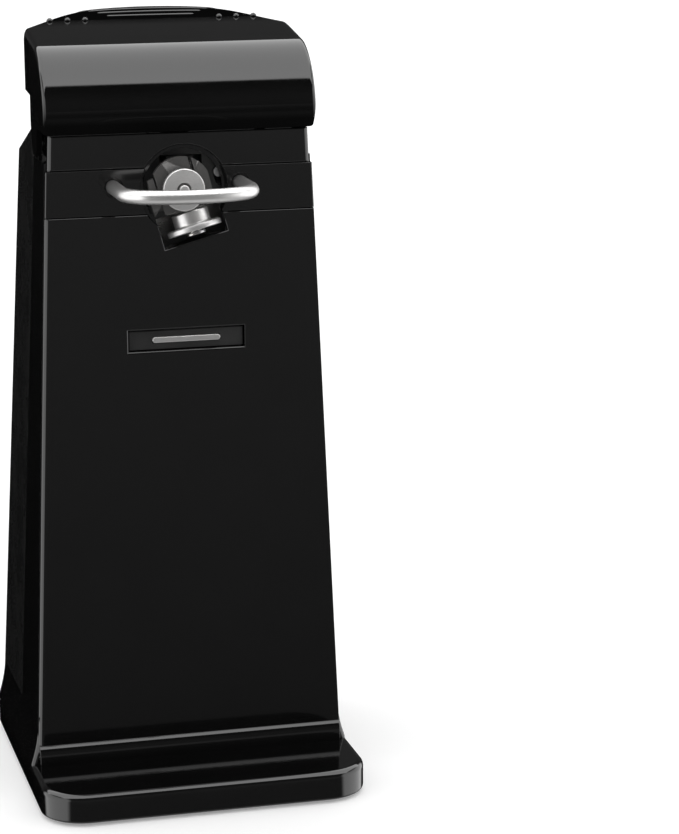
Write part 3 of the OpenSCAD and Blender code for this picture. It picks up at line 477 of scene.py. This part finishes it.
PANEL_ROUND = 1.7
for panel in ("lower_front_panel", "middle_band", "upper_front_panel"):
    copy_of(panel, panel.replace("front_", "") + "_gloss", panel_rule, PANEL_ROUND, gloss_black, "housing")


# ---------- lever ----------

# The lever's crest, the radius of its arch across, and the rounding of its shoulders.
CREST_Z, ARCH_R, SHOULDER_R = 226.5, 230.0, 4.0
# Farthest point of the curved back edge behind the front panels, and how deep its curve is.
BACK_REACH, BACK_DEPTH = 50.0, 19.0
# Rounding of the side edges and of the back edge, and the thickness of the shell.
SIDE_ROUND, BACK_ROUND, HOOD_WALL = 1.5, 1.8, 1.6
# Where the raised dots stand behind the front panels, and their radius.
DOT_Y, DOT_R = 37.5, 0.95


def soft_min(a, b, k):
    """The smaller of a and b, with the change from one to the other rounded over k."""
    h = max(0.0, min(1.0, 0.5 + 0.5 * (b - a) / k))
    return b + (a - b) * h - k * h * (1 - h)


def crown(y):
    """Height of the lever's top along its middle; y is the distance behind the front panels."""
    slope = 218.8 + 0.1692 * (y - 11)
    rise = 223.2 + 0.3778 * (y - 37)
    return soft_min(-soft_min(-slope, -rise, 1.0), 226.6, 1.0)


def arch(x):
    """Height limit across the lever: a shallow arch with round shoulders."""
    flat = LEVER_HALF_W - SHOULDER_R
    inner = min(abs(x), flat)
    z = CREST_Z - (ARCH_R - math.sqrt(ARCH_R ** 2 - inner ** 2))
    beyond = max(0.0, abs(x) - flat)
    return z - (SHOULDER_R - math.sqrt(max(0.0, SHOULDER_R ** 2 - beyond ** 2)))


def lever_top(x, y, dip=0.0):
    """Height of the lever's top at x, at y behind the front panels."""
    return soft_min(crown(y) - dip, arch(x), 0.6)


def rear_edge(x):
    """How far behind the front panels the lever's back edge is at x."""
    radius = (LEVER_HALF_W ** 2 + BACK_DEPTH ** 2) / (2 * BACK_DEPTH)
    return BACK_REACH - radius + math.sqrt(radius ** 2 - x ** 2)


def bezier(a, b, c, d, t):
    """A point of a (y, z) curve with the four control points a to d, at t from 0 to 1."""
    s = 1 - t
    return tuple(s ** 3 * a[i] + 3 * t * s * s * b[i] + 3 * t * t * s * c[i] + t ** 3 * d[i] for i in (0, 1))


# The lever's front in profile, from its lower front edge up to the crown.
FRONT_PATH = [bezier((-0.45, 194.6), (-1.9, 196.2), (-3.45, 198.6), (-3.5, 201), i / 8) for i in range(8)]
FRONT_PATH += [bezier((-3.5, 201), (-3.3, 208), (3, 216.8), (11, 218.8), i / 32) for i in range(33)]
CROWN_START = 11.25


def hood_mesh():
    """The lever's outer skin: one column of points for each x, from the lower front edge over the top and down the
    back, with both ends closed down to the pivot ears."""
    inner = LEVER_HALF_W - SIDE_ROUND
    angles = [math.radians(d) for d in (15, 30, 45, 60, 75, 90)]
    spread = [inner * i / 28 for i in range(29)]
    right = [(x, 0.0) for x in spread] + [(inner + SIDE_ROUND * math.sin(a), SIDE_ROUND * (1 - math.cos(a)))
                                         for a in angles]
    columns = [(-x, dip) for x, dip in reversed(right)] + right[1:]
    points = []
    for x, dip in columns:
        for i, (y, z) in enumerate(FRONT_PATH):
            before = FRONT_PATH[max(i - 1, 0)]
            after = FRONT_PATH[min(i + 1, len(FRONT_PATH) - 1)]
            run = Vector((after[0] - before[0], after[1] - before[1])).normalized()
            points.append(Vector((x, FRONT_Y + y + dip * run.y, z - dip * run.x)))
        back = rear_edge(x) - dip
        last = back - BACK_ROUND
        for i in range(41):
            y = CROWN_START + (last - CROWN_START) * i / 40
            points.append(Vector((x, FRONT_Y + y, lever_top(x, y, dip))))
        edge_z = lever_top(x, last, dip)
        for a in angles:
            points.append(Vector((x, FRONT_Y + last + BACK_ROUND * math.sin(a),
                                  edge_z - BACK_ROUND * (1 - math.cos(a)))))
        low = 204 + (back - 21) * 2.5 / 29
        for i in range(1, 5):
            points.append(Vector((x, FRONT_Y + back, edge_z - BACK_ROUND + (low - edge_z + BACK_ROUND) * i / 4)))
    row = len(points) // len(columns)
    faces = [(i * row + k, i * row + k + 1, (i + 1) * row + k + 1, (i + 1) * row + k)
             for i in range(len(columns) - 1) for k in range(row - 1)]
    tail = [(21, 204), (21, 195.5), (19, 188.4), (16.5, 187.4), (13, 187.4), (11, 189.5), (10, 195.4), (3, 195.6)]
    for column in (0, len(columns) - 1):
        first = len(points)
        x = columns[column][0]
        points += [Vector((x, FRONT_Y + y, z)) for y, z in tail]
        faces.append(tuple(column * row + k for k in range(row)) + tuple(range(first, first + len(tail))))
    return points, faces


hood = new_piece("lever_hood", *hood_mesh(), hood_black, "press_lever", "gloss_black", ("lever",))
shell = hood.modifiers.new("thickness", "SOLIDIFY")
shell.thickness, shell.offset = HOOD_WALL * MM, -1
soften(hood, 0.28, 2, 50)


def ridges_mesh():
    """Four raised finger grips that follow the back of the lever, shorter towards the front."""
    parts = []
    for y0, bow, reach in ((40.6, 900.0, 13.8), (43.0, 260.0, 16.4), (45.2, 150.0, 19.3), (47.2, 105.0, 21.5)):
        path = []
        for i in range(61):
            x = -reach + 2 * reach * i / 60
            y = y0 - x * x / (2 * bow)
            path.append(Vector((x, FRONT_Y + y, lever_top(x, y) - 0.3)))
        parts.append(sweep(path, 0.62, 16, 0.62, 4))
    return join(*parts)


new_piece("lever_ridges", *ridges_mesh(), gloss_black, "press_lever", "gloss_black")


def dots_mesh():
    """Three half-round dots at each side of the lever's top."""
    rings, sides, parts = 7, 20, []
    for x in (-30.4, -25.2, -20.0, 20.0, 25.2, 30.4):
        points = []
        base = lever_top(x, DOT_Y) - 0.1
        for i in range(rings):
            a = math.pi / 2 * i / (rings - 1)
            for k in range(sides):
                t = 2 * math.pi * k / sides
                r = DOT_R * math.cos(a) + 0.001
                points.append(Vector((x + r * math.cos(t), FRONT_Y + DOT_Y + r * math.sin(t),
                                      base + DOT_R * math.sin(a))))
        parts.append((points, ring_faces(rings, sides) + end_faces(rings, sides)[:1]))
    return join(*parts)


new_piece("lever_dots", *dots_mesh(), grip_black, "press_lever", "gloss_black")

PIVOT_Y = FRONT_Y + 15.5
SPRING_Y = PIVOT_Y + 14.2
# The web and the hook that lifts the cutter's carriage, the post above the spring and the post above the switch.
works = join(
    box_mesh((HEAD_X - 4, PIVOT_Y - 3.4, 185), (HEAD_X + 4, PIVOT_Y - 1.4, 217)),
    box_mesh((HEAD_X - 4, FRONT_Y + 6, 184.6), (HEAD_X + 4, PIVOT_Y - 1.4, 186.9)),
    post_mesh(0, SPRING_Y, 205, 219.5, 3.4),
    post_mesh(29.5, PIVOT_Y + 10, 190, 219, 2.0))
soften(new_piece("lever_works", *works, inner_black, "press_lever", "gloss_black"), 0.3, 2)

SPRING_TURNS, SPRING_R, SPRING_WIRE_R, SPRING_LOW, SPRING_HIGH = 5, 3.6, 0.5, 193.15, 204.35


def spring_mesh():
    steps = SPRING_TURNS * 36
    path = []
    for i in range(steps + 1):
        a = 2 * math.pi * SPRING_TURNS * i / steps
        path.append(Vector((SPRING_R * math.cos(a), SPRING_Y + SPRING_R * math.sin(a),
                            SPRING_LOW + (SPRING_HIGH - SPRING_LOW) * i / steps)))
    return sweep(path, SPRING_WIRE_R, 12)


coil = new_piece("lever_spring_coil", *spring_mesh(), zinc_steel, "housing", "satin_steel", ("lever_spring",))
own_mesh(coil)


# ---------- guide bar and magnet ----------

BAR_X, BAR_Z, BAR_R, BAR_HALF_W = -1.0, 179.2, 2.0, 18.4
# How far the bar stands out, and the radii of its corners and of its bow.
BAR_REACH, BAR_CORNER, BAR_BOW = 25.5, 10.0, 34.0


def bar_path():
    """Two straight legs, two round corners and a shallow bow, level with the floor."""
    half, corner, bow, z = BAR_HALF_W, BAR_CORNER, BAR_BOW, BAR_Z
    front = FRONT_Y - BAR_REACH
    corner_x = half - corner
    drop = math.sqrt((bow - corner) ** 2 - corner_x ** 2)
    bow_y = front + bow
    turn = math.atan2(corner_x, drop)
    right = [Vector((bow * math.sin(a), bow_y - bow * math.cos(a), z))
             for a in (turn * i / 16 for i in range(16))]
    right += [Vector((corner_x + corner * math.sin(a), bow_y - drop - corner * math.cos(a), z))
              for a in (turn + (math.pi / 2 - turn) * i / 20 for i in range(21))]
    leg_start, leg_end = right[-1].y, FRONT_Y + 6.5
    right += [Vector((half, leg_start + (leg_end - leg_start) * i / 8, z)) for i in range(1, 9)]
    left = [Vector((-p.x, p.y, p.z)) for p in reversed(right[1:])]
    return [p + Vector((BAR_X, 0, 0)) for p in left + right]


new_piece("guide_bar_polished", *sweep(bar_path(), BAR_R, 32), satin_steel, "housing", "satin_steel",
          ("guide_bar",))

# The magnet's steel strip: half its straight length, and the radius of its round ends.
STRIP_HALF, STRIP_R = 9.15, 0.85


def pill_mesh():
    """A strip with round ends, from just inside the slot's mouth back to the magnet."""
    outline = []
    for side in (1, -1):
        for k in range(13):
            a = math.radians(-90 + 180 * k / 12)
            outline.append((SLOT_X + side * (STRIP_HALF + STRIP_R * math.cos(a)),
                            SLOT_Z + side * STRIP_R * math.sin(a)))
    points = [Vector((x, y, z)) for y in (FRONT_Y + 0.6, FRONT_Y + 4) for x, z in outline]
    return points, end_faces(2, len(outline)) + ring_faces(2, len(outline))


strip = new_piece("magnet_face", *pill_mesh(), satin_steel, "housing", "satin_steel", ("magnet_pole_piece",))
soften(strip, 0.3, 3, 50)


# ---------- drive wheel and cutter ----------

def lean_point(x, y, z):
    """A point given in the cutter's leaning frame, which is centred on the round recess."""
    return Vector((HEAD_X + x * math.cos(LEAN) - z * math.sin(LEAN), y,
                   HEAD_Z + x * math.sin(LEAN) + z * math.cos(LEAN)))


WHEEL_X, WHEEL_Z, WHEEL_FRONT = HEAD_X - 1.15, HEAD_Z + 0.5, FRONT_Y - 6
lathe("drive_wheel_turned",
      [(2.0, 2.8), (5.6, 2.8), (5.95, 2.5), (5.95, 1.5), (5.75, 1.3), (6.1, 1.15), (6.1, 0.5), (6.02, 0.25),
       (5.85, 0.06), (5.6, 0.0), (2.25, 0.0), (2.05, 0.15), (2.0, 1.2)],
      (WHEEL_X, WHEEL_FRONT, WHEEL_Z), (0, 1, 0), turned_steel, "drive", "satin_steel", ("drive_wheel",),
      sides=144, tooth=(36, 0.3, 1, 3))
lathe("drive_pin",
      [(2.0, 1.3), (1.55, 1.25), (1.45, 1.1), (1.42, -0.45), (1.3, -0.68), (1.0, -0.78), (0.0, -0.8)],
      (WHEEL_X, WHEEL_FRONT, WHEEL_Z), (0, 1, 0), turned_steel, "drive", "satin_steel", ("drive_wheel_nut",),
      sides=48)

# The top of the cutter's hub in the leaning frame, and how far below it the middle of its flange is.
CUTTER_X, CUTTER_Y, CUTTER_TOP, CUTTER_DROP = 0.1, FRONT_Y + 3.45, -7.0, 5.2
cutter_axis = Vector((-math.sin(LEAN) * math.cos(TILT), math.sin(TILT), math.cos(LEAN) * math.cos(TILT)))
cutter_middle = lean_point(CUTTER_X, CUTTER_Y, CUTTER_TOP) - cutter_axis * CUTTER_DROP
lathe("cutter_turned",
      [(2.05, -0.95), (7.7, -0.95), (7.92, -0.85), (8.0, -0.7), (8.0, 0.45), (7.93, 0.6), (7.75, 0.66),
       (7.5, 0.66), (7.4, 0.85), (7.1, 0.93), (5.6, 0.95), (5.4, 1.1), (5.35, 1.3), (5.35, 4.55),
       (5.2, 4.8), (4.9, 4.95), (2.05, 4.98)],
      cutter_middle, cutter_axis, turned_steel, "cutter", "satin_steel", ("cutter_wheel",), sides=128)


# ---------- CAD nodes that keep their shape ----------

# Each node's finish, and the radius in mm that its edges are rounded by.
FINISHES = {
    "bottom_cover": ("inner_black", 0.3), "rubber_feet": ("foot_rubber", 0.35),
    "base_screws": ("zinc_steel", 0.15), "front_housing": ("gloss_black", 0.5),
    "rear_housing": ("shell_black", 0.6), "housing_screws": ("zinc_steel", 0.1),
    "guide_bar_clips": ("zinc_steel", 0.1), "magnet_holder": ("inner_black", 0.35), "lid_magnet": ("ferrite", 0.2),
    "lever_pivot_pins": ("zinc_steel", 0.2), "switch_body": ("inner_black", 0.25),
    "switch_plunger": ("red_plastic", 0.2), "switch_terminals": ("brass", 0.08),
    "cutter_slide": ("inner_black", 0.25), "cutter_bracket": ("dark_steel", 0.22),
    "cutter_axle": ("zinc_steel", 0.15), "slide_guide_pins": ("zinc_steel", 0.15),
    "drive_shaft": ("dark_steel", 0.1), "drive_bush": ("brass", 0.1), "drive_gear": ("zinc_steel", 0.06),
    "second_gear": ("nylon", 0.06), "second_gear_axle": ("zinc_steel", 0.1),
    "first_gear": ("nylon", 0.05), "first_gear_axle": ("zinc_steel", 0.1), "front_gear_plate": ("zinc_steel", 0.12),
    "rear_gear_plate": ("zinc_steel", 0.12), "gear_plate_posts": ("dark_steel", 0.1),
    "gear_plate_screws": ("zinc_steel", 0.1), "motor_pinion": ("brass", 0.03), "motor_shaft": ("satin_steel", 0.1),
    "rotor": ("lamination", 0.1), "cooling_fan": ("inner_black", 0.12), "stator_core": ("lamination", 0.1),
    "coil_bobbin": ("inner_black", 0.15), "coil_winding": ("copper", 0.4), "motor_bracket": ("zinc_steel", 0.12),
    "motor_bushes": ("brass", 0.1), "motor_screws": ("zinc_steel", 0.1), "motor_spacers": ("zinc_steel", 0.1),
}
for node_name, (finish, edge) in FINISHES.items():
    dress(node_name, MATERIALS[finish], edge)


# ---------- studio ----------

# Strengths of the floor's own glow, of the white light that matt surfaces get, and of the side walls and the table
# that gloss sees.
FLOOR_GLOW, FILL_LIGHT, SIDE_LIGHT, TABLE_LIGHT = 0.22, 1.12, 2.1, 0.55
FLOOR_RADIUS = 14


def make_floor():
    mesh = bpy.data.meshes.new("floor")
    made = bmesh.new()
    bmesh.ops.create_circle(made, cap_ends=True, segments=96, radius=FLOOR_RADIUS)
    made.to_mesh(mesh)
    made.free()
    floor = bpy.data.objects.new("floor", mesh)
    bpy.context.scene.collection.objects.link(floor)
    paper = make_material("studio_paper", grey(0.90), grey(0.87), (0.8, 0.9), blotch=3, grain=400,
                          grain_height=0.01, specular=0.0)
    for node in paper.node_tree.nodes:
        if node.type == "BSDF_PRINCIPLED":
            node.inputs["Emission Color"].default_value = grey(1.0)
            node.inputs["Emission Strength"].default_value = FLOOR_GLOW
    mesh.materials.append(paper)
    floor.visible_glossy = False


def make_world():
    """White light all round for matt surfaces; gloss sees a dark studio with one long softbox overhead, lit walls
    at both sides and a lit table below."""
    world = bpy.data.worlds.new("studio")
    bpy.context.scene.world = world
    world.use_nodes = True
    tree = world.node_tree
    tree.nodes.clear()
    n = Nodes(tree)
    direction = n.add("ShaderNodeTexCoord").outputs["Generated"]
    split = n.add("ShaderNodeSeparateXYZ", {0: direction})
    x, y, z = split.outputs
    # turn is the angle about the x axis in degrees: 0 behind the object, 90 overhead, 180 in front of it.
    turn = n.math("MULTIPLY", n.math("ARCTAN2", z, y), 180 / math.pi)
    width = n.math("ABSOLUTE", x)
    # The softbox overhead, brighter towards the front.
    overhead = n.math("MULTIPLY", n.remap(turn, 36.5, 37.5, 0, 1, True), n.remap(turn, 128, 131, 1, 0, True))
    overhead = n.math("MULTIPLY", overhead, n.remap(width, 0.80, 0.84, 1, 0, True))
    overhead = n.math("MULTIPLY", overhead, n.remap(turn, 40, 128, 2.7, 4.0))
    # The dim room in front and above, the floor and the wall behind.
    room = n.remap(turn, 128, 175, 0.05, 0.36, True)
    room = n.math("MULTIPLY", room, n.remap(turn, 12, 30, 1.0, 0.35, True))
    below = n.remap(turn, -1, 1, 1, 0)
    table_edge = n.remap(z, -0.33, -0.10, 0.12, 0.27)
    low = n.math("MULTIPLY", below, n.math("MULTIPLY", table_edge, n.remap(y, -0.15, 0.25, 1.0, 0.015)))
    rear = n.math("MULTIPLY", n.remap(turn, 36, 38, 0.045, 0), n.remap(turn, 2, 10, 0, 1))
    room = n.math("ADD", n.math("MULTIPLY", room, n.math("SUBTRACT", 1.0, below)), n.math("ADD", low, rear))
    # The lit walls at both sides, and the lit table below.
    sides = n.math("MULTIPLY", n.remap(width, 0.66, 0.80, 0, 1, True), n.remap(z, -0.62, -0.45, 0, 1, True))
    sides = n.math("MULTIPLY", sides, n.remap(z, 0.35, 0.5, 1, 0, True))
    sides = n.math("MULTIPLY", sides, SIDE_LIGHT)
    table = n.remap(z, -0.75, -0.45, TABLE_LIGHT, 0, True)
    total = n.math("ADD", n.math("ADD", overhead, room), n.math("ADD", sides, table))
    gloss = n.add("ShaderNodeBackground", {"Color": grey(1.0), "Strength": total})
    plain = n.add("ShaderNodeBackground", {"Color": grey(1.0), "Strength": FILL_LIGHT})
    path = n.add("ShaderNodeLightPath")
    mix = n.add("ShaderNodeMixShader", {0: path.outputs["Is Glossy Ray"], 1: plain.outputs[0], 2: gloss.outputs[0]})
    n.add("ShaderNodeOutputWorld", {"Surface": mix.outputs[0]})


make_floor()
make_world()
bpy.context.scene.view_settings.view_transform = "Standard"
